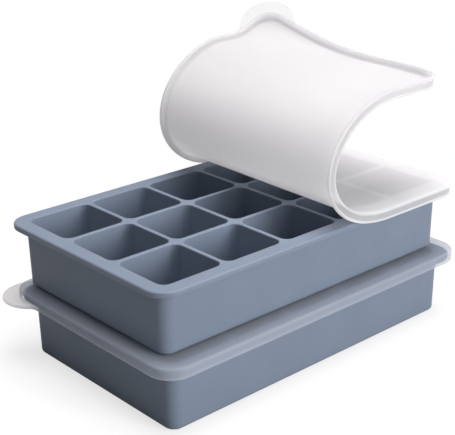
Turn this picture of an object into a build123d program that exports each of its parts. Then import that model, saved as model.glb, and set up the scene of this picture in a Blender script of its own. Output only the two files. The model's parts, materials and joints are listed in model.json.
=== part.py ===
from build123d import *
import os
from math import atan, cos, degrees, radians, sin, sqrt, tan

os.makedirs("parts", exist_ok=True)

# Cells of one tray, counted along X and across Y
cells_along = 5
cells_across = 3
pitch_along = 34.0
pitch_across = 33.0
cell_wall = 2.2
cell_corner = 4.0
cell_taper = 1.0
cell_floor_round = 3.0
cell_lip_round = 0.5

# Tray body and its rim
tray_height = 31.0
tray_floor = 2.0
outer_wall = 2.0
body_corner = 6.0
body_taper = 0.6
base_round = 2.0
rim_reach = 5.2
rim_thick = 3.0
rim_corner = 10.0
rim_round = 0.9

# Lid: flat sheet with a skirt that hangs round the rim, and a tab at the skirt's lower edge
lid_sheet = 2.1
lid_edge_height = 5.4
skirt_wall = 1.5
skirt_gap = 0.3
lid_edge_round = 0.8
skirt_tip_round = 0.5
tab_radius = 14.0
tab_beyond_corner = 8.0
tab_thick = 1.8
tab_root_round = 6.0

# How the pieces sit: small seat clearance, and the upper tray set back a little on the lower lid
seat_gap = 0.1
set_back = 3.5

# Peeled lid: strips that bend on equal hinges, narrow where the curl is tight
hinge_count = 13
peel_turn = 180.9
lift_line = 31.8
strip_tight = 4.25
strip_at_seat = 10.0
strip_at_free_end = 12.2
tight_place_share = 0.45
strip_growth_power = 1.6
strip_gap = 0.15
first_hinge_slant = 1.65
last_hinge_slant = -3.85

# Corner of the peeled lid that carries the tab and stands up off the free panel
corner_turn = 34.0
corner_fold_from_middle = 7.5
corner_fold_margin = 13.4

# Overrun of cutting tools
overrun = 5.0

# Sizes that follow from the ones above
cell_length = pitch_along - cell_wall
cell_width = pitch_across - cell_wall
cell_depth = tray_height - tray_floor
body_length = cells_along * pitch_along - cell_wall + 2 * outer_wall
body_width = cells_across * pitch_across - cell_wall + 2 * outer_wall
rim_length = body_length + 2 * rim_reach
rim_width = body_width + 2 * rim_reach
lid_reach = skirt_gap + skirt_wall
lid_length = rim_length + 2 * lid_reach
lid_width = rim_width + 2 * lid_reach
lid_corner = rim_corner + lid_reach
lid_bottom_drop = lid_edge_height - lid_sheet
lower_lid_z = tray_height + seat_gap
upper_tray_z = lower_lid_z + lid_sheet + seat_gap
upper_lid_z = upper_tray_z + tray_height + seat_gap
upper_lid_top = upper_lid_z + lid_sheet
bend = peel_turn / hinge_count


def plate(length, width, corner, height, z):
    """Upright plate with rounded corners, its underside at z."""
    return Pos(0, 0, z) * extrude(RectangleRounded(length, width, corner), amount=height)


def tray():
    """One tray standing on z = 0: tapered body, flat rim, rounded cells open at the top."""
    body_lean = degrees(atan(body_taper / tray_height))
    body_top = Pos(0, 0, tray_height) * RectangleRounded(body_length, body_width, body_corner)
    body = extrude(body_top, amount=-tray_height, taper=body_lean)
    body = fillet(body.faces().sort_by(Axis.Z)[0].edges(), base_round)
    rim = plate(rim_length, rim_width, rim_corner, rim_thick, tray_height - rim_thick)
    rim = fillet(rim.faces().sort_by(Axis.Z)[-1].edges() + rim.faces().sort_by(Axis.Z)[0].edges(), rim_round)
    cell_lean = degrees(atan(cell_taper / cell_depth))
    mouth = Pos(0, 0, tray_height) * RectangleRounded(cell_length, cell_width, cell_corner)
    cell = extrude(mouth, amount=-cell_depth, taper=cell_lean)
    cell = fillet(cell.faces().sort_by(Axis.Z)[0].edges(), cell_floor_round)
    cells = GridLocations(pitch_along, pitch_across, cells_along, cells_across) * cell
    whole = body + rim - cells
    lips = whole.faces().sort_by(Axis.Z)[-1].inner_wires().edges()
    return fillet(lips, cell_lip_round)


def tab_outline():
    """Lid outline with the rounded tab added at the (-X, +Y) corner."""
    slant = sqrt(2) / 2
    outward = lid_corner + tab_beyond_corner - tab_radius
    tab_x = -(lid_length / 2 - lid_corner) - outward * slant
    tab_y = lid_width / 2 - lid_corner + outward * slant
    outline = RectangleRounded(lid_length, lid_width, lid_corner) + Pos(tab_x, tab_y) * Circle(tab_radius)
    roots = outline.vertices().sort_by_distance((tab_x, tab_y))[0:2]
    return fillet(roots, tab_root_round)


def lid():
    """One lid lying flat, the sheet's underside at z = 0 and the skirt below it."""
    shell = plate(lid_length, lid_width, lid_corner, lid_edge_height, -lid_bottom_drop)
    shell = fillet(shell.faces().sort_by(Axis.Z)[-1].edges(), lid_edge_round)
    tab = Pos(0, 0, -lid_bottom_drop) * extrude(tab_outline(), amount=tab_thick)
    hollow_height = lid_bottom_drop + overrun
    hollow_length = lid_length - 2 * skirt_wall
    hollow_width = lid_width - 2 * skirt_wall
    hollow = plate(hollow_length, hollow_width, lid_corner - skirt_wall, hollow_height, -hollow_height)
    whole = shell + tab - hollow
    tips = whole.faces().sort_by(Axis.Z)[0].edges()
    return fillet(tips, skirt_tip_round)


def strip_lengths():
    """Lengths of the strips between the hinges, narrow at the tight place and longer towards both ends."""
    last = hinge_count - 2
    tight = tight_place_share * (hinge_count - 2)
    lengths = []
    for place in range(hinge_count - 1):
        if place < tight:
            away = (tight - place) / tight
            longest = strip_at_seat
        else:
            away = (place - tight) / (last - tight)
            longest = strip_at_free_end
        lengths.append(strip_tight + (longest - strip_tight) * away**strip_growth_power)
    return lengths


def hinge_axis(number):
    """Line of one hinge on the top face of the flat upper lid."""
    slant = radians(hinge_slants[number])
    return Axis((hinge_places[number], set_back, upper_lid_top), (sin(slant), cos(slant), 0))


def peel(shape, hinges):
    """Turns a flat piece of the lid up about the first hinges, the last of them first."""
    for number in reversed(range(hinges)):
        shape = shape.rotate(hinge_axis(number), bend)
    return shape


def beside_hinge(number, side):
    """Block that holds the flat lid on one side of a hinge, half a gap from its line; side is 1 towards the seat."""
    reach = 2 * lid_length
    line = Pos(hinge_places[number], set_back, upper_lid_top) * Rot(0, 0, -hinge_slants[number])
    return line * Pos(side * (reach + strip_gap) / 2, 0, 0) * Box(reach, reach, reach)


# Lower tray, lower lid and upper tray
one_tray = tray()
one_lid = lid()
lower_tray = one_tray
lower_lid = Pos(0, 0, lower_lid_z) * one_lid
upper_tray = Pos(0, set_back, upper_tray_z) * one_tray
flat_lid = Pos(0, set_back, upper_lid_z) * one_lid

# Places of the hinges on the flat lid, from the lift line towards the free end, and how far each slants
hinge_places = [lift_line]
for length in strip_lengths():
    hinge_places.append(hinge_places[-1] - length)
curl_run = hinge_places[0] - hinge_places[-1]
slant_change = last_hinge_slant - first_hinge_slant
hinge_slants = [first_hinge_slant + slant_change * (lift_line - place) / curl_run for place in hinge_places]

# Seated end and the strips of the curl
lid_seat = flat_lid & beside_hinge(0, 1)
strips = []
for number in range(hinge_count - 1):
    flat_strip = flat_lid & beside_hinge(number, -1) & beside_hinge(number + 1, 1)
    strips.append(peel(flat_strip, number + 1))

# Free panel, cut along a slanting fold so that the tab's corner stands up
flat_panel = flat_lid & beside_hinge(hinge_count - 1, -1)
fold_z = upper_lid_top - lid_edge_height
fold_start = Vector(-lid_length / 2, set_back + corner_fold_from_middle, fold_z)
last_hinge_far_end = hinge_places[-1] + tan(radians(last_hinge_slant)) * lid_width / 2
fold_end = Vector(last_hinge_far_end - corner_fold_margin, set_back + lid_width / 2, fold_z)
fold_line = fold_end - fold_start
fold_plane = Plane(origin=fold_start, x_dir=fold_line, z_dir=(0, 0, 1))
fold_length = fold_line.length
reach = 2 * lid_width
corner_side = fold_plane * Pos(fold_length / 2, reach / 2 + strip_gap / 2, 0) * Box(reach, reach, reach)
panel_side = fold_plane * Pos(fold_length / 2, -reach / 2 - strip_gap / 2, 0) * Box(reach, reach, reach)
flat_corner = flat_panel & corner_side
flat_rest = flat_panel & panel_side
fold_axis = Axis(fold_start, fold_line)
raised_corner = flat_corner.rotate(fold_axis, -corner_turn)
lid_panel = peel(flat_rest, hinge_count)
lid_corner_piece = peel(raised_corner, hinge_count)

export_step(lower_tray, "parts/lower_tray.step")
export_step(lower_lid, "parts/lower_lid.step")
export_step(upper_tray, "parts/upper_tray.step")
export_step(lid_seat, "parts/lid_seat.step")
for number, strip in enumerate(strips):
    export_step(strip, f"parts/lid_strip_{number + 1:02d}.step")
export_step(lid_panel, "parts/lid_panel.step")
export_step(lid_corner_piece, "parts/lid_corner.step")

# Rest places of the hinges, for the joints: the middle of each line and its far end
for number in range(hinge_count):
    line = hinge_axis(number)
    for name, point in (("middle", line.position), ("end", line.position + line.direction * lid_width / 2)):
        rest_point = peel(Vertex(point.X, point.Y, point.Z), number).center()
        print("hinge", number + 1, name, round(rest_point.X, 4), round(rest_point.Y, 4), round(rest_point.Z, 4))
for name, point in (("start", fold_start), ("end", fold_end)):
    fold_point = peel(Vertex(point.X, point.Y, point.Z), hinge_count).center()
    print("fold", 1, name, round(fold_point.X, 4), round(fold_point.Y, 4), round(fold_point.Z, 4))
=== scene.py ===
import json
import math

import bpy
import numpy as np
from mathutils import Matrix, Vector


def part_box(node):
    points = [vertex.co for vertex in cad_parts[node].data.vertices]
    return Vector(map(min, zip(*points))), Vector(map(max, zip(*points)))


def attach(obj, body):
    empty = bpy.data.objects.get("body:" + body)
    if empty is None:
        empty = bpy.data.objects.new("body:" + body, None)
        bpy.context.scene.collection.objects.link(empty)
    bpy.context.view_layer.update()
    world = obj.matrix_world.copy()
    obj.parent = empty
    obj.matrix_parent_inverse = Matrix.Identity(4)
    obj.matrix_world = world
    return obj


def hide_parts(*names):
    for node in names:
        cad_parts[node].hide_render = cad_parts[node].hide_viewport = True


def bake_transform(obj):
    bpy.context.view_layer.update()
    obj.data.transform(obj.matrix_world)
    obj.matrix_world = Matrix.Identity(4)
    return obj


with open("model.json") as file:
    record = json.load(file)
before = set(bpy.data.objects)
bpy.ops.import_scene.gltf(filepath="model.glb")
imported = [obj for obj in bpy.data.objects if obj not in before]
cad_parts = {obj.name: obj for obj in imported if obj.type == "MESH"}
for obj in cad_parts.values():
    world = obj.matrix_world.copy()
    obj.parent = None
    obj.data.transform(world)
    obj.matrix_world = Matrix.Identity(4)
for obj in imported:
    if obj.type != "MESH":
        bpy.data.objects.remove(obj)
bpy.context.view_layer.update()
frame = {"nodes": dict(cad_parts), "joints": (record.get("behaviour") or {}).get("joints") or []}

# Sizes of one lid, in metres
lid_half_length = 0.0929
lid_half_width = 0.0574
lid_corner = 0.0118
lid_sheet = 0.0021
lid_edge_height = 0.0054
skirt_wall = 0.0015
sheet_edge_round = 0.0009
skirt_tip_round = 0.0006
skirt_root_round = 0.0014

# Sizes of the pull tab
tab_radius = 0.014
tab_beyond_corner = 0.008
tab_thick = 0.0018
tab_root_round = 0.006
tab_edge_round = 0.0008
tab_root_depth = 0.0003
least_tab_share = 0.05
least_tab_length = 1e-6

# How the skirt shows: height of its bright edges, and the inner face's share of the outer face's look, which takes
# in the wall's painted shade
bright_edge = 0.0008
inner_face_share = 0.25

# Steps of the grids
sheet_columns = 65
arc_points = 7
outer_wall_points = 9
inner_wall_points = 7
corner_rows = 16
cap_row_step = 0.0015
least_cap_rows = 3
curl_row_step = 0.0007
least_curl_rows = 7
lines_per_hinge = 8
tab_root_points = 10
tab_disc_points = 48
tab_rings = 10

# Places of the two lids
lower_lid_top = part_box("lower_lid")[1][2]
upper_lid_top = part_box("lid_seat")[1][2]
upper_set_back = (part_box("upper_tray")[0][1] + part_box("upper_tray")[1][1]) / 2

# Peel of the upper lid, read from the hinges
hinges = [j for j in frame["joints"] if j["name"].startswith("lid_peel_")]
hinges.sort(key=lambda j: j["name"])
hinge_points = np.array([j["pos_m"] for j in hinges])
hinge_bend = math.radians(hinges[0]["range_deg"][1])
strip_spans = np.linalg.norm(np.diff(hinge_points, axis=0), axis=1)
hinge_flat = hinge_points[0, 0] - np.concatenate([[0.0], np.cumsum(strip_spans)])

# Cuts of the curl: halfway between the hinges, and a little beyond the first and the last one
seat_reach = 0.011
panel_reach = 0.007
between_hinges = (hinge_flat[:-1] + hinge_flat[1:]) / 2
curl_cuts = np.concatenate([[hinge_flat[0] + seat_reach], between_hinges, [hinge_flat[-1] - panel_reach]])

# Slope of the bend lines across the lid: it changes evenly along the curl and fades out at both ends
first_hinge_slope = math.tan(math.radians(1.65))
last_hinge_slope = math.tan(math.radians(-3.85))
slope_change = (last_hinge_slope - first_hinge_slope) / (hinge_flat[-1] - hinge_flat[0])
straight_end = lid_half_length - lid_corner
slope_places = np.array([-straight_end, curl_cuts[-1], curl_cuts[0], straight_end])
slope_values = np.array([0.0, last_hinge_slope, first_hinge_slope, 0.0])
slope_values[1] -= slope_change * panel_reach
slope_values[2] += slope_change * seat_reach

# Skirt drawn in where the curl stretches it, on the near and the far side
tight_curvature = 60.0
near_skirt_draw = 0.0005
far_skirt_draw = 0.0008

# Fold that lifts the tab's corner, in the flat lid's plan
fold_turn = math.radians(34.0)
fold_from_middle = 0.0075
fold_margin = 0.0134
fold_half_width = 0.018
last_hinge_far_end = hinge_flat[-1] + last_hinge_slope * lid_half_width
fold_start = np.array([-lid_half_length, fold_from_middle])
fold_end = np.array([last_hinge_far_end - fold_margin, lid_half_width])
fold_length = np.linalg.norm(fold_end - fold_start)
fold_along = (fold_end - fold_start) / fold_length
fold_across = np.array([-fold_along[1], fold_along[0]])

# Height over which the peeled lid's look changes
curl_height = 0.06

# Cells of the tray under the seated end, where they show through and where the seat's painted light lies over
# their walls and rim
cells_along = 5
cells_across = 3
cell_pitch_along = 0.034
cell_pitch_across = 0.033
cell_wall_half = 0.0008
wall_soft_reach = 0.0026
lift_off_fade = 0.004


def ease(t):
    """Smooth step of t clipped to 0..1: t squared times (3 - 2 t)."""
    t = np.clip(t, 0.0, 1.0)
    return t * t * (3.0 - 2.0 * t)


def line_slope(x):
    """Slope dx/dy of the bend line that crosses the middle of the flat lid at x."""
    return np.interp(x, slope_places, slope_values)


def slanted(flat):
    """Shears rows of flat lid points along their bend lines: x moves by the line's slope times y."""
    x, y, n = flat.T
    return np.column_stack([x + line_slope(x) * y, y, n])


def folded_corner(x, y, n):
    """Turns the points past the slanting fold towards the skirt, about the line at the skirt's tips.

    q is the distance past the fold, p the place along it and m the height over the line; q and m turn by
    fold_turn times a smooth step of q.
    """
    q = (x - fold_start[0]) * fold_across[0] + (y - fold_start[1]) * fold_across[1]
    p = (x - fold_start[0]) * fold_along[0] + (y - fold_start[1]) * fold_along[1]
    m = lid_edge_height - n
    turn = fold_turn * ease((q + fold_half_width) / (2 * fold_half_width))
    q_turned = q * np.cos(turn) + m * np.sin(turn)
    m_turned = m * np.cos(turn) - q * np.sin(turn)
    x_turned = fold_start[0] + p * fold_along[0] + q_turned * fold_across[0]
    y_turned = fold_start[1] + p * fold_along[1] + q_turned * fold_across[1]
    return x_turned, y_turned, lid_edge_height - m_turned


def turned(points, base, direction, angle):
    """Turns points about a line by an angle each: v cos a + (d x v) sin a + d (d.v) (1 - cos a)."""
    offset = points - base
    cosine, sine = np.cos(angle)[:, None], np.sin(angle)[:, None]
    along = (offset @ direction)[:, None] * direction
    return base + offset * cosine + np.cross(direction, offset) * sine + along * (1 - cosine)


def drawn_skirt(x, y, n):
    """Depth n of the skirt, drawn in by up to a set amount at its tip where the curl's curvature is high."""
    middles = (curl_cuts[:-1] + curl_cuts[1:]) / 2
    curvature = hinge_bend / (curl_cuts[:-1] - curl_cuts[1:])
    places = np.concatenate([[-lid_half_length], middles[::-1], [curl_cuts[0] + seat_reach]])
    tightness = np.concatenate([[0.0], curvature[::-1], [0.0]]) / tight_curvature
    share = np.clip(np.interp(x, places, tightness), 0.0, 1.0)
    draw = np.where(y < 0, near_skirt_draw, far_skirt_draw)
    return n * (1 - draw / lid_edge_height * share)


def peeled(flat):
    """Places flat lid points (x along, y across, n below the top face) on the peeled upper lid.

    The corner is folded first. Then fine bend lines, the last one first, each turn what lies past them about
    their own slanting line on the top face; the turn grows evenly over the line's span, so the sheet stays smooth.
    """
    depth = drawn_skirt(flat[:, 0], flat[:, 1], flat[:, 2])
    x, y, n = folded_corner(flat[:, 0], flat[:, 1], depth)
    points = np.column_stack([x, y, -n])
    shares = (np.arange(lines_per_hinge) + 0.5) / lines_per_hinge
    line_bend = hinge_bend / lines_per_hinge
    for number in reversed(range(len(hinge_flat))):
        high, low = curl_cuts[number], curl_cuts[number + 1]
        half_span = (high - low) / lines_per_hinge / 2
        for share in shares[::-1]:
            place = high + (low - high) * share
            slope = line_slope(place)
            length = math.hypot(slope, 1.0)
            past = (place + slope * y - x) / length
            angle = line_bend * np.clip((past + half_span) / (2 * half_span), 0.0, 1.0)
            direction = np.array([slope, 1.0, 0.0]) / length
            points = turned(points, np.array([place, 0.0, 0.0]), direction, angle)
    return points + np.array([0.0, upper_set_back, upper_lid_top])


def peeled_rows(flat):
    """Peeled places of flat rows that run along the slanting bend lines."""
    return peeled(slanted(flat))


def laid_flat(flat):
    """Places flat lid points on the lower lid."""
    return np.column_stack([flat[:, 0], flat[:, 1], lower_lid_top - flat[:, 2]])


def skirt_profile():
    """Edge of the lid as (inset from the outer face, depth below the top).

    It runs over the rounded shoulder, the wall, the rounded tip and the inner wall to the fillet at the sheet.
    The second array is each place's share of the outer face.
    """
    quarter = np.linspace(0.0, math.pi / 2, arc_points)
    rise, fall = 1 - np.cos(quarter), np.sin(quarter)
    low = lid_edge_height - skirt_tip_round
    root = lid_sheet + skirt_root_round
    shoulder = np.column_stack([sheet_edge_round * (1 - fall), sheet_edge_round * rise])
    wall_depth = np.linspace(sheet_edge_round, low, outer_wall_points)[1:-1]
    outer = np.column_stack([np.zeros_like(wall_depth), wall_depth])
    tip_out = np.column_stack([skirt_tip_round * rise, low + skirt_tip_round * fall])
    tip_in = np.column_stack([skirt_wall - skirt_tip_round * rise[::-1], low + skirt_tip_round * fall[::-1]])
    inner_depth = np.linspace(low, root, inner_wall_points)[1:-1]
    inner = np.column_stack([np.full_like(inner_depth, skirt_wall), inner_depth])
    fillet = np.column_stack([skirt_wall + skirt_root_round * rise, root - skirt_root_round * fall])
    outside = np.vstack([shoulder, outer, tip_out])
    inside = np.vstack([tip_in, inner, fillet])
    outer_share = np.repeat([1.0, inner_face_share], [len(outside), len(inside)])
    return np.vstack([outside, inside]), outer_share


def edge_share(depth):
    """Share of bright edge at a depth on the skirt: 1 at the sheet's outer edge and at the tip, 0 between."""
    shoulder = 1 - ease((depth - bright_edge) / bright_edge)
    tip = 1 - ease((lid_edge_height - depth - bright_edge) / bright_edge)
    return np.maximum(shoulder, tip)


def grid_quads(rows, columns, start):
    """Quads of a rows by columns grid whose first vertex has the number start."""
    index = start + np.arange(rows * columns).reshape(rows, columns)
    corners = [index[:-1, :-1], index[1:, :-1], index[1:, 1:], index[:-1, 1:]]
    return np.stack(corners, axis=-1).reshape(-1, 4)


def lid_shell(row_x, row_angle, side, ended):
    """Flat lid between rows of places along X: top sheet, underside and the skirt carried round the outline.

    A row is a core point and an angle: its edge lies at core + (corner radius - inset) times the outward normal,
    so straight sides have angle 0 and the corners run from 0 to a quarter turn. Returns points (x, y, n), quads
    and each point's share of skirt: 0 on the sheet, 1 on the skirt's outer face.
    """
    profile, outer_share = skirt_profile()
    core_half = lid_half_width - lid_corner
    across = np.linspace(-1.0, 1.0, sheet_columns)
    points, quads, on_skirt, count = [], [], [], 0

    def add(block, flip, skirt_share):
        """Adds a grid of points with its quads, turned over where flip is true."""
        nonlocal count
        rows, columns = block.shape[:2]
        faces = grid_quads(rows, columns, count)
        points.append(block.reshape(-1, 3))
        quads.append(faces[:, ::-1] if flip else faces)
        on_skirt.append(np.tile(np.broadcast_to(skirt_share, columns), rows))
        count += rows * columns

    def sheet(inset, depth):
        """Face of the sheet at a depth: each row runs across between its two edges, less the inset."""
        reach = lid_corner - inset
        x = row_x + side * reach * np.sin(row_angle)
        half = core_half + reach * np.cos(row_angle)
        y = half[:, None] * across[None, :]
        return np.stack([np.repeat(x[:, None], len(across), 1), y, np.full_like(y, depth)], axis=-1)

    def skirt(core_x, core_y, normal_x, normal_y, flip):
        """Skirt's profile carried along core points: core + (corner radius - inset) times the normal."""
        reach = lid_corner - profile[:, 0]
        x = core_x[:, None] + normal_x[:, None] * reach[None, :]
        y = core_y[:, None] + normal_y[:, None] * reach[None, :]
        depth = np.repeat(profile[None, :, 1], len(core_x), 0)
        add(np.stack([x, y, depth], axis=-1), flip, outer_share)

    add(sheet(sheet_edge_round, 0.0), side < 0, 0.0)
    add(sheet(skirt_wall + skirt_root_round, lid_sheet), side > 0, 0.0)
    normal_along, normal_across = side * np.sin(row_angle), np.cos(row_angle)
    core_edge = np.full_like(row_x, core_half)
    near = (row_x, -core_edge, normal_along, -normal_across)
    far = (row_x[::-1], core_edge, normal_along[::-1], normal_across[::-1])
    if ended:
        inner = across[1:-1]
        end = (
            np.full_like(inner, row_x[-1]),
            inner * core_half,
            np.full_like(inner, float(side)),
            np.zeros_like(inner),
        )
        round_trip = [np.concatenate(parts) for parts in zip(near, end, far)]
        skirt(*round_trip, side > 0)
    else:
        skirt(*near, side > 0)
        skirt(*far, side > 0)
    return np.vstack(points), np.vstack(quads), np.concatenate(on_skirt)


def cap_rows(cut, side):
    """Rows from a cut to one end of the lid: even straight steps, then the corner's quarter turn."""
    core = side * straight_end
    steps = max(least_cap_rows, int(abs(core - cut) / cap_row_step))
    straight = np.linspace(cut, core, steps)
    turn = np.linspace(0.0, math.pi / 2, corner_rows)[1:]
    row_x = np.concatenate([straight, np.full_like(turn, core)])
    return row_x, np.concatenate([np.zeros_like(straight), turn])


def tab_edge():
    """Outline of the pull tab beyond the lid's corner, in the corner's own plan, from one root to the other.

    The tab is a disc on the corner's diagonal. A root arc outside both the disc and the straight side joins
    them: its centre is tab_root_round off the side and tab_radius + tab_root_round from the disc's centre.
    """
    outward = lid_corner + tab_beyond_corner - tab_radius
    centre = outward * math.sqrt(0.5)
    root_x = lid_corner + tab_root_round
    side_gap = root_x - centre
    drop = math.sqrt((tab_radius + tab_root_round) ** 2 - side_gap**2)
    root_y = centre - drop
    meet = math.atan2(drop, side_gap)
    arc = np.linspace(0.0, meet, tab_root_points)
    first = np.column_stack([root_x - tab_root_round * np.cos(arc), root_y + tab_root_round * np.sin(arc)])
    sweep = np.linspace(-meet, math.pi / 2 + meet, tab_disc_points)[1:-1]
    disc = np.column_stack([centre + tab_radius * np.cos(sweep), centre + tab_radius * np.sin(sweep)])
    last = first[::-1, ::-1]
    return np.vstack([first, disc, last])


def tab_shell():
    """Pull tab as a plate: top, rounded rim and underside, each a run from inside the skirt wall to the outline.

    The outline is taken in the (-X, +Y) corner; every ring is a share of the way to it from just inside the
    skirt's outer face. The plate is closed inside the wall and across both roots.
    """
    edge = tab_edge()
    root = lid_corner - tab_root_depth
    beyond = np.clip(edge, 0.0, None)
    direction = beyond / np.linalg.norm(beyond, axis=1)[:, None]
    corner_zone = (edge[:, 0] > 0) & (edge[:, 1] > 0)
    inside = np.where(corner_zone[:, None], direction * root, np.clip(edge, None, root))
    half = tab_thick / 2
    bow = np.linspace(0.0, math.pi, tab_rings)
    outwards = np.linspace(0.0, 1.0, tab_rings)[:-1]
    level = np.zeros_like(outwards)
    shares = np.concatenate([outwards, np.ones(tab_rings), outwards[::-1]])
    inset = np.concatenate([level, tab_edge_round * (1 - np.sin(bow)), level])
    height = np.concatenate([level + half, half * np.cos(bow), level - half])
    length = np.linalg.norm(edge - inside, axis=1)
    room = np.clip(1 - tab_edge_round / np.maximum(length, least_tab_length), least_tab_share, 1.0)[:, None]
    on_rim = np.where(shares == 1.0, 1.0, 0.0) * np.clip(1 - inset / tab_edge_round, 0.0, 1.0)
    share = shares * room + on_rim * (1 - room)
    plan = inside[:, None, :] + share[:, :, None] * (edge - inside)[:, None, :]
    x = -straight_end - plan[..., 0]
    y = lid_half_width - lid_corner + plan[..., 1]
    depth = lid_edge_height - half - np.repeat(height[None, :], len(edge), 0)
    block = np.stack([x, y, depth], axis=-1)
    rows, columns = block.shape[:2]
    index = np.arange(rows * columns).reshape(rows, columns)
    inner_wall = np.stack([index[:-1, -1], index[1:, -1], index[1:, 0], index[:-1, 0]], axis=-1)
    first, last = index[0], index[-1]
    upper = np.arange(columns // 2 - 1)
    lower = columns - 1 - upper
    first_end = np.stack([first[upper], first[upper + 1], first[lower - 1], first[lower]], axis=-1)
    last_end = np.stack([last[lower], last[lower - 1], last[upper + 1], last[upper]], axis=-1)
    quads = np.vstack([grid_quads(rows, columns, 0), inner_wall, first_end, last_end])
    return block.reshape(-1, 3), quads


def piece(name, points, quads, material, edge, wall):
    """Mesh object from points and quads, coincident points merged, smooth shaded, sitting at the origin.

    edge and wall are the points' shares of bright edge and of thin skirt wall, and rise is their height above
    the seat as a share of curl_height; all three are kept as attributes for the material.
    """
    _, first, back = np.unique(np.round(points, 7), axis=0, return_index=True, return_inverse=True)
    points, edge, wall = points[first], edge[first], wall[first]
    quads = back.reshape(-1)[quads]
    mesh = bpy.data.meshes.new(name)
    mesh.vertices.add(len(points))
    mesh.vertices.foreach_set("co", points.astype(np.float32).ravel())
    mesh.loops.add(quads.size)
    mesh.loops.foreach_set("vertex_index", quads.astype(np.int32).ravel())
    mesh.polygons.add(len(quads))
    mesh.polygons.foreach_set("loop_start", np.arange(0, quads.size, 4, dtype=np.int32))
    mesh.polygons.foreach_set("use_smooth", np.ones(len(quads), dtype=bool))
    mesh.update(calc_edges=True)
    rise = np.clip((points[:, 2] - upper_lid_top) / curl_height, 0.0, 1.0)
    for title, values in (("edge", edge), ("wall", wall), ("rise", rise)):
        mesh.attributes.new(title, "FLOAT", "POINT").data.foreach_set("value", values.astype(np.float32))
    mesh.validate()
    obj = bpy.data.objects.new(name, mesh)
    bpy.context.scene.collection.objects.link(obj)
    obj.data.materials.append(material)
    return obj


def lid_piece(name, flat, quads, on_skirt, place, finish):
    """Length of lid from flat points, put in its place, with the shares of edge and wall its material uses."""
    edge = edge_share(flat[:, 2])
    return piece(name, place(flat), quads, finish, on_skirt * edge, on_skirt * (1 - edge))


def tab_piece(name, flat, quads, place):
    """Pull tab from flat points, put in its place; none of it counts as skirt."""
    none = np.zeros(len(flat))
    return piece(name, place(flat), quads, tab_finish, none, none)


def new_material(name):
    """Material with no nodes yet, its nodes and its links."""
    material = bpy.data.materials.new(name)
    material.use_nodes = True
    nodes = material.node_tree.nodes
    nodes.clear()
    return material, nodes, material.node_tree.links


def maths(nodes, links, operation, first, second=None):
    """Result of a Math node; each of the two values is a socket or a number."""
    node = nodes.new("ShaderNodeMath")
    node.operation = operation
    for socket, value in zip(node.inputs, (first, second)):
        if isinstance(value, bpy.types.NodeSocket):
            links.new(value, socket)
        elif value is not None:
            socket.default_value = value
    return node.outputs["Value"]


def map_range(nodes, links, value, span=(0.0, 1.0), to=(0.0, 1.0), kind="LINEAR"):
    """Value carried from one span to another, clipped at its ends; the smooth kind eases in and out."""
    node = nodes.new("ShaderNodeMapRange")
    node.interpolation_type = kind
    node.inputs["From Min"].default_value, node.inputs["From Max"].default_value = span
    node.inputs["To Min"].default_value, node.inputs["To Max"].default_value = to
    links.new(value, node.inputs["Value"])
    return node.outputs["Result"]


def noise(nodes, links, place, scale, detail):
    """Noise texture on the piece's own Object coordinates."""
    node = nodes.new("ShaderNodeTexNoise")
    node.inputs["Scale"].default_value = scale
    node.inputs["Detail"].default_value = detail
    links.new(place.outputs["Object"], node.inputs["Vector"])
    return node.outputs["Fac"]


def moulded_grain(nodes, links, place, shader, scale, strength):
    """Fine bump of a moulded surface on a shader's normal."""
    bump = nodes.new("ShaderNodeBump")
    bump.inputs["Strength"].default_value = strength
    bump.inputs["Distance"].default_value = 0.0002
    links.new(noise(nodes, links, place, scale, 2.0), bump.inputs["Height"])
    links.new(bump.outputs["Normal"], shader.inputs["Normal"])


def tray_silicone():
    """Blue-grey moulded silicone: matte, with a faint mottling and a fine moulded grain."""
    material, nodes, links = new_material("tray_silicone")
    output = nodes.new("ShaderNodeOutputMaterial")
    shader = nodes.new("ShaderNodeBsdfPrincipled")
    shader.inputs["Roughness"].default_value = 0.5
    shader.inputs["IOR"].default_value = 1.41
    shader.inputs["Specular IOR Level"].default_value = 0.4
    shader.inputs["Sheen Weight"].default_value = 0.12
    shader.inputs["Sheen Roughness"].default_value = 0.5
    place = nodes.new("ShaderNodeTexCoord")
    tint = nodes.new("ShaderNodeValToRGB")
    darker, lighter = tint.color_ramp.elements
    darker.position, lighter.position = 0.3, 0.7
    darker.color = (0.158, 0.198, 0.262, 1)
    lighter.color = (0.168, 0.209, 0.275, 1)
    links.new(noise(nodes, links, place, 60.0, 3.0), tint.inputs["Fac"])
    links.new(tint.outputs["Color"], shader.inputs["Base Color"])
    moulded_grain(nodes, links, place, shader, 1400.0, 0.06)
    links.new(shader.outputs["BSDF"], output.inputs["Surface"])
    return material


def height_steps(nodes, links, rise, steps):
    """Ramp of one value over the rise attribute, from (rise, value) steps."""
    ramp = nodes.new("ShaderNodeValToRGB")
    ends = ramp.color_ramp.elements
    for end, (position, value) in zip((ends[0], ends[1]), (steps[0], steps[-1])):
        end.position = position
        end.color = (value, value, value, 1)
    for position, value in steps[1:-1]:
        ends.new(position).color = (value, value, value, 1)
    links.new(rise, ramp.inputs["Fac"])
    return ramp.outputs["Color"]


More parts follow.
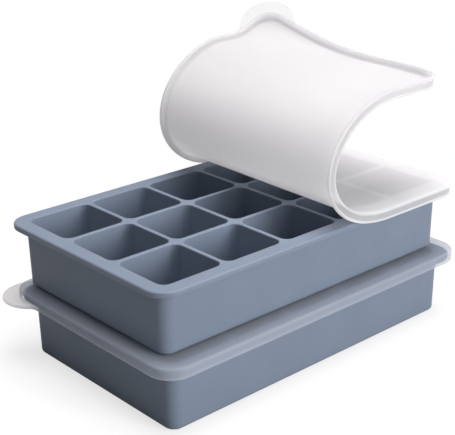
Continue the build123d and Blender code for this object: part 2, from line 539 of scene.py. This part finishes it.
def tray_contact(nodes, links, place, rise):
    """Share of contact with the tray's top face: 1 over the cell walls and the rim, 0 over a cell.

    Along X and Y the distance to the nearest wall is pitch times the fraction's distance from a half; past the
    outer walls the rim takes over. The largest of the four shares counts, and it fades where the lid lifts off.
    """
    # This share is the mask of the painted light that makes the seat paler over the tray's walls and rim
    parts = nodes.new("ShaderNodeSeparateXYZ")
    links.new(place.outputs["Object"], parts.inputs["Vector"])
    directions = (
        ("X", 0.0, cell_pitch_along, cells_along),
        ("Y", upper_set_back, cell_pitch_across, cells_across),
    )
    shares = []
    for axis, middle, pitch, count in directions:
        offset = maths(nodes, links, "SUBTRACT", parts.outputs[axis], middle)
        fraction = maths(nodes, links, "FRACT", maths(nodes, links, "DIVIDE", offset, pitch))
        from_wall = maths(nodes, links, "ABSOLUTE", maths(nodes, links, "SUBTRACT", fraction, 0.5))
        from_middle = maths(nodes, links, "ABSOLUTE", offset)
        outer_wall = pitch * count / 2
        wall_span = (wall_soft_reach / pitch, cell_wall_half / pitch)
        rim_span = (outer_wall - wall_soft_reach, outer_wall)
        shares.append(map_range(nodes, links, from_wall, wall_span, kind="SMOOTHSTEP"))
        shares.append(map_range(nodes, links, from_middle, rim_span, kind="SMOOTHSTEP"))
    along = maths(nodes, links, "MAXIMUM", shares[0], shares[1])
    across = maths(nodes, links, "MAXIMUM", shares[2], shares[3])
    lying = map_range(nodes, links, rise, (lift_off_fade / curl_height, 0.0), kind="SMOOTHSTEP")
    return maths(nodes, links, "MULTIPLY", maths(nodes, links, "MAXIMUM", along, across), lying)


def lid_silicone(name, tint, wall_shade_tint, scatter_steps, clear_steps, edge_dim, wall_shares, rib_light_dim):
    """Milky silicone sheet: some light comes back, some goes through scattered and some goes straight through.

    The scattered and the straight share follow the height above the seat: the seated end, which lies on a tray,
    shows more of what is under it, and is paler where it touches the tray, painted light for the light that the
    tray's walls and rim send back through the sheet. The skirt's thin wall has its own tint, which on the peeled
    lid is a greyer painted shade, and least shares, scattered and straight, and its rounded edges let less
    straight through.
    """
    material, nodes, links = new_material(name)
    output = nodes.new("ShaderNodeOutputMaterial")
    shader = nodes.new("ShaderNodeBsdfPrincipled")
    shader.inputs["Roughness"].default_value = 0.4
    shader.inputs["IOR"].default_value = 1.41
    through = nodes.new("ShaderNodeBsdfTranslucent")
    clear = nodes.new("ShaderNodeBsdfTransparent")
    milky = nodes.new("ShaderNodeMixShader")
    sheet = nodes.new("ShaderNodeMixShader")
    place = nodes.new("ShaderNodeTexCoord")
    shares = {}
    for title in ("rise", "edge", "wall"):
        attribute = nodes.new("ShaderNodeAttribute")
        attribute.attribute_name = title
        shares[title] = attribute.outputs["Fac"]
    rise, edge, wall = shares["rise"], shares["edge"], shares["wall"]

    # Tint: the sheet's own, and on the skirt's edges and wall the wall tint; where that is greyer it is painted
    # shade, not a colour of the silicone
    milk_and_wall_shade = nodes.new("ShaderNodeValToRGB")
    milk_and_wall_shade.color_ramp.elements[0].color = (*tint, 1)
    milk_and_wall_shade.color_ramp.elements[1].color = (*wall_shade_tint, 1)
    links.new(maths(nodes, links, "MAXIMUM", edge, wall), milk_and_wall_shade.inputs["Fac"])
    links.new(milk_and_wall_shade.outputs["Color"], shader.inputs["Base Color"])
    links.new(milk_and_wall_shade.outputs["Color"], through.inputs["Color"])
    moulded_grain(nodes, links, place, shader, 900.0, 0.04)

    # Scattered share
    least_scatter, least_clear = wall_shares
    scatter = height_steps(nodes, links, rise, scatter_steps)
    wall_scatter = maths(nodes, links, "MULTIPLY", wall, least_scatter)
    links.new(maths(nodes, links, "MAXIMUM", scatter, wall_scatter), milky.inputs["Fac"])

    # Straight share, dimmed along the skirt's edges and where the sheet touches the tray; over the tray's walls
    # and rim
    # this paints light: paler lines for the light that they send back through the sheet
    straight = height_steps(nodes, links, rise, clear_steps)
    contact = tray_contact(nodes, links, place, rise)
    painted_rib_light = map_range(nodes, links, contact, to=(1.0, rib_light_dim))
    seated = maths(nodes, links, "MULTIPLY", straight, painted_rib_light)
    dim = map_range(nodes, links, edge, to=(1.0, edge_dim))
    edged = maths(nodes, links, "MULTIPLY", seated, dim)
    wall_clear = maths(nodes, links, "MULTIPLY", wall, least_clear)
    links.new(maths(nodes, links, "MAXIMUM", edged, wall_clear), sheet.inputs["Fac"])

    links.new(shader.outputs["BSDF"], milky.inputs[1])
    links.new(through.outputs["BSDF"], milky.inputs[2])
    links.new(milky.outputs["Shader"], sheet.inputs[1])
    links.new(clear.outputs["BSDF"], sheet.inputs[2])
    links.new(sheet.outputs["Shader"], output.inputs["Surface"])
    return material


tray_finish = tray_silicone()
white_tint = (0.975, 0.972, 0.978)
# Greyer tint for the peeled lid's skirt: painted shade for the darker band where the thin wall is seen through to
# the gap behind it
painted_wall_shade = (0.82, 0.82, 0.83)
# Blue-grey tint of the resting lid: painted shade from the upper tray, with the tray's colour under it painted in
# as if seen through; the silicone itself is white
resting_shade_tint = (0.57, 0.615, 0.70)
peeled_finish = lid_silicone(
    "peeled_lid_silicone",
    tint=white_tint,
    wall_shade_tint=painted_wall_shade,
    scatter_steps=((0.0, 0.4), (0.15, 0.68), (0.72, 0.63), (0.92, 0.74)),
    clear_steps=((0.0, 0.4), (0.2, 0.08)),
    edge_dim=0.5,
    wall_shares=(0.85, 0.42),
    rib_light_dim=0.82,
)
shaded_resting_finish = lid_silicone(
    "resting_lid_silicone",
    tint=resting_shade_tint,
    wall_shade_tint=resting_shade_tint,
    scatter_steps=((0.0, 0.42), (1.0, 0.42)),
    clear_steps=((0.0, 0.58), (1.0, 0.58)),
    edge_dim=0.9,
    wall_shares=(0.42, 0.42),
    rib_light_dim=1.0,
)
tab_finish = lid_silicone(
    "tab_silicone",
    tint=white_tint,
    wall_shade_tint=white_tint,
    scatter_steps=((0.0, 0.5), (1.0, 0.8)),
    clear_steps=((0.0, 0.3), (0.2, 0.86)),
    edge_dim=1.0,
    wall_shares=(0.5, 0.3),
    rib_light_dim=1.0,
)

# Trays keep their solids
for tray in ("lower_tray", "upper_tray"):
    node = frame["nodes"][tray]
    node.data.materials.clear()
    node.data.materials.append(tray_finish)

# The lower lid's sheet carries the painted shade of the resting finish
# Lower lid: two halves that meet across the middle, and its tab
right_half = lid_shell(*cap_rows(0.0, 1), 1, True)
left_half = lid_shell(*cap_rows(0.0, -1), -1, True)
lower_lid = lid_piece(
    "lower_lid_sheet",
    np.vstack([right_half[0], left_half[0]]),
    np.vstack([right_half[1], left_half[1] + len(right_half[0])]),
    np.concatenate([right_half[2], left_half[2]]),
    laid_flat,
    shaded_resting_finish,
)
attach(lower_lid, "lower_lid")
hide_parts("lower_lid")
tab_points, tab_quads = tab_shell()
lower_tab = tab_piece("lower_lid_tab", tab_points, tab_quads, laid_flat)
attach(lower_tab, "lower_lid")

# Upper lid, seated end
seat_shell = lid_shell(*cap_rows(curl_cuts[0], 1), 1, True)
seat_end = lid_piece("upper_lid_seat", *seat_shell, peeled_rows, peeled_finish)
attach(seat_end, "lid_seat")
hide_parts("lid_seat")

# Upper lid, the curl: one length of sheet across each hinge
chain = ["lid_seat"] + [j["child"] for j in hinges]
for number in range(len(hinges)):
    high, low = curl_cuts[number], curl_cuts[number + 1]
    steps = max(least_curl_rows, int((high - low) / curl_row_step))
    row_x = np.linspace(high, low, steps)
    shell = lid_shell(row_x, np.zeros_like(row_x), -1, False)
    curl = lid_piece(f"upper_lid_curl_{number + 1:02d}", *shell, peeled_rows, peeled_finish)
    middle = (high + low) / 2
    quarter_width = lid_half_width / 2
    marks = np.array([[high, 0.0], [low, 0.0], [middle, -quarter_width], [middle, quarter_width]])
    marks = peeled_rows(np.column_stack([marks, np.zeros(len(marks))]))
    bend_line = (marks[3] - marks[2]) / np.linalg.norm(marks[3] - marks[2])
    across_bend = marks[1] - marks[0]
    across_bend = across_bend - (across_bend @ bend_line) * bend_line
    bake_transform(curl)
    if number < len(hinges) - 1:
        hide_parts(chain[number + 1])

# Upper lid, the free panel with its lifted corner, and the tab
free_shell = lid_shell(*cap_rows(curl_cuts[-1], -1), -1, True)
free_end = lid_piece("upper_lid_free_end", *free_shell, peeled_rows, peeled_finish)
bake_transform(free_end)
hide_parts("lid_panel", "lid_corner")
upper_tab = tab_piece("upper_lid_tab", tab_points, tab_quads, peeled)
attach(upper_tab, "lid_corner")


def floor():
    """Plain white floor: it keeps the object's shadow and brightens to the white background away from it."""
    material, nodes, links = new_material("floor")
    output = nodes.new("ShaderNodeOutputMaterial")
    shader = nodes.new("ShaderNodeBsdfDiffuse")
    white = nodes.new("ShaderNodeEmission")
    white.inputs["Strength"].default_value = 1.0
    mix = nodes.new("ShaderNodeMixShader")
    seen = nodes.new("ShaderNodeLightPath").outputs["Is Camera Ray"]
    place = nodes.new("ShaderNodeTexCoord")
    distance = nodes.new("ShaderNodeVectorMath")
    distance.operation = "LENGTH"
    links.new(place.outputs["Object"], distance.inputs[0])
    fade = map_range(nodes, links, distance.outputs["Value"], (0.08, 0.24), (0.7, 1.0), "SMOOTHSTEP")
    links.new(map_range(nodes, links, seen, to=(0.4, 0.9)), shader.inputs["Color"])
    links.new(maths(nodes, links, "MULTIPLY", fade, seen), mix.inputs["Fac"])
    links.new(shader.outputs["BSDF"], mix.inputs[1])
    links.new(white.outputs["Emission"], mix.inputs[2])
    links.new(mix.outputs["Shader"], output.inputs["Surface"])
    mesh = bpy.data.meshes.new("floor")
    reach = 6.0
    corners = [(-reach, -reach, 0), (reach, -reach, 0), (reach, reach, 0), (-reach, reach, 0)]
    mesh.from_pydata(corners, [], [(0, 1, 2, 3)])
    mesh.materials.append(material)
    obj = bpy.data.objects.new("floor", mesh)
    bpy.context.scene.collection.objects.link(obj)


def placed(right, up, back, eye):
    """Matrix of an object at eye whose own axes point right, up and back."""
    return Matrix([list(row) for row in zip(right, up, back, eye)] + [[0, 0, 0, 1]])


def area_lamp(name, place, aim, size, watts, colour):
    """Rectangular lamp at a place, turned to its aim: back points away from the aim, right lies level."""
    lamp = bpy.data.lights.new(name, "AREA")
    lamp.color = colour
    lamp.shape = "RECTANGLE"
    lamp.size, lamp.size_y = size
    lamp.energy = watts
    obj = bpy.data.objects.new(name, lamp)
    back = np.array(place, float) - np.array(aim, float)
    back /= np.linalg.norm(back)
    right = np.cross([0, 0, 1], back)
    right /= np.linalg.norm(right)
    up = np.cross(back, right)
    obj.matrix_world = placed(right.tolist(), up.tolist(), back.tolist(), place)
    bpy.context.scene.collection.objects.link(obj)


def studio_world():
    """Soft room light, brighter from above and from the right front, and plain white to the camera."""
    world = bpy.data.worlds.new("studio")
    bpy.context.scene.world = world
    world.use_nodes = True
    nodes, links = world.node_tree.nodes, world.node_tree.links
    nodes.clear()
    output = nodes.new("ShaderNodeOutputWorld")
    room = nodes.new("ShaderNodeBackground")
    room.inputs["Color"].default_value = (1, 1, 1, 1)
    light_from = nodes.new("ShaderNodeTexCoord")
    towards = nodes.new("ShaderNodeVectorMath")
    towards.operation = "DOT_PRODUCT"
    towards.inputs[1].default_value = (0.45, -0.35, 0.82)
    links.new(light_from.outputs["Generated"], towards.inputs[0])
    level = map_range(nodes, links, towards.outputs["Value"], (-0.5, 0.9), (0.06, 0.34))
    links.new(level, room.inputs["Strength"])
    white = nodes.new("ShaderNodeBackground")
    white.inputs["Color"].default_value = (1, 1, 1, 1)
    white.inputs["Strength"].default_value = 1.0
    pick = nodes.new("ShaderNodeMixShader")
    path = nodes.new("ShaderNodeLightPath")
    links.new(path.outputs["Is Camera Ray"], pick.inputs["Fac"])
    links.new(room.outputs["Background"], pick.inputs[1])
    links.new(white.outputs["Background"], pick.inputs[2])
    links.new(pick.outputs["Shader"], output.inputs["Surface"])


floor()
lamp_aim = (0.0, 0.0, 0.05)
area_lamp("key_lamp", (0.22, -1.0, 0.35), lamp_aim, (0.5, 0.5), 10.2, (1.0, 1.0, 1.0))
area_lamp("top_lamp", (0.08, 0.0, 1.3), lamp_aim, (1.0, 1.0), 20.8, (1.0, 0.96, 0.97))
studio_world()

# Camera at the photograph's place, fitted to the rim, the cells and the base edges
camera_data = bpy.data.cameras.new("camera")
camera_data.sensor_width = 36.0
camera_data.lens = 89.28
camera_data.shift_x = -0.0361
camera_data.shift_y = -0.0039
camera = bpy.data.objects.new("camera", camera_data)
camera_right = (0.73552, -0.67747, -0.00686)
camera_up = (0.25102, 0.26310, 0.93154)
camera_back = (-0.62929, -0.68689, 0.36357)
camera_eye = (-0.331093, -0.362020, 0.250035)
camera.matrix_world = placed(camera_right, camera_up, camera_back, camera_eye)
bpy.context.scene.collection.objects.link(camera)
bpy.context.scene.camera = camera
bpy.context.scene.view_settings.view_transform = "Standard"
